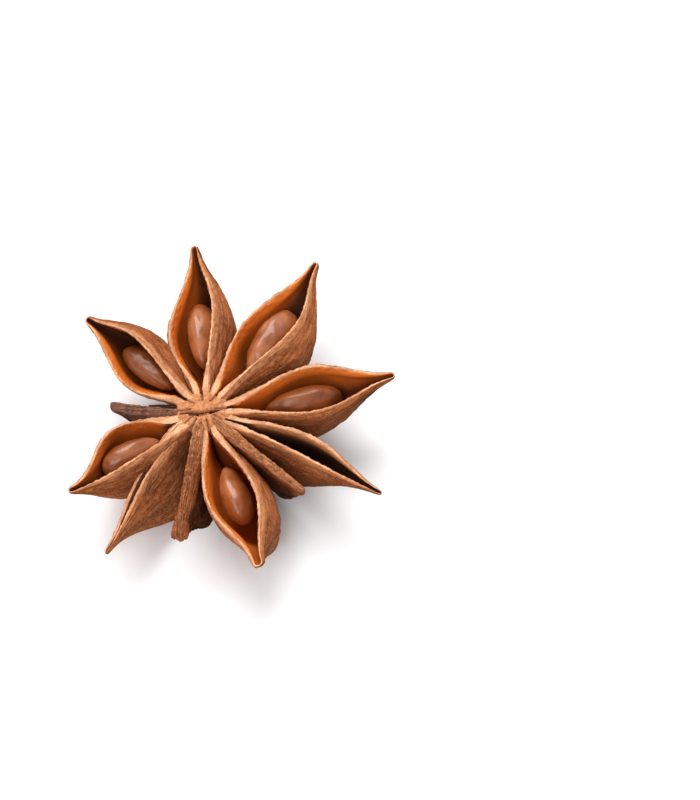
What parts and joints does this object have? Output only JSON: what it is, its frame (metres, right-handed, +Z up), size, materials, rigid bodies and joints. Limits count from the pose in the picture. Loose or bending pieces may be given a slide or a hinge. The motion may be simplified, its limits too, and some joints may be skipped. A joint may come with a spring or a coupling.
{
  "type": "star anise pod",
  "caption": "Dried star-shaped spice pod of boat-shaped carpels grown round a short column, some split open over a glossy seed.",
  "frame": {"origin": "middle of the stalk scar, on the axis of the star, at the height of the table the pod lies on", "axes": "+Z up out of the open side of the star, +X to the right and +Y away from the picture's camera"},
  "size_m": [0.0332, 0.0386, 0.0102],
  "materials": {
    "pod_husk": "matte, dry and fibrous",
    "seed_coat": "glossy"
  },
  "bodies": {
    "root": {"pod": "pod_husk", "seed_east": "seed_coat", "seed_north_east": "seed_coat", "seed_north": "seed_coat", "seed_north_west": "seed_coat", "seed_south_west": "seed_coat", "seed_south_south_east": "seed_coat"}
  },
  "joints": []
}
